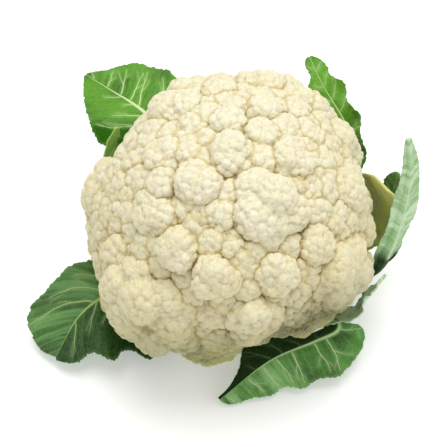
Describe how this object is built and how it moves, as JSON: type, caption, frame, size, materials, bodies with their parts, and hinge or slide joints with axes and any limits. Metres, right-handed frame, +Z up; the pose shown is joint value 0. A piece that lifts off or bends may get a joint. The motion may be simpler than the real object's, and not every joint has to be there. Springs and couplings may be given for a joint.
{
  "type": "cauliflower",
  "caption": "Whole cauliflower head: a cream curd of packed florets on a short cut stalk, clasped by ribbed green leaves with waved, lobed margins.",
  "frame": {"origin": "centre of the stalk's flat cut foot, on the surface that the head stands on", "axes": "+Z up through the curd; -Y towards the viewer's side of the picture; +X to the viewer's right"},
  "size_m": [0.2376, 0.225, 0.1675],
  "materials": {
    "curd": "satin",
    "stalk": "satin",
    "outer_leaf": "satin",
    "tall_leaf": "satin",
    "inner_leaf": "satin"
  },
  "bodies": {
    "root": {"curd": "curd", "stalk": "stalk", "leaf_front_left": "outer_leaf", "leaf_back_left": "outer_leaf", "leaf_back_left_inner": "inner_leaf", "leaf_back": "outer_leaf", "leaf_back_right": "outer_leaf", "leaf_right_small": "outer_leaf", "leaf_right_inner": "inner_leaf", "leaf_right_tall": "tall_leaf", "leaf_right_low": "tall_leaf", "leaf_front_right": "outer_leaf"}
  },
  "joints": []
}
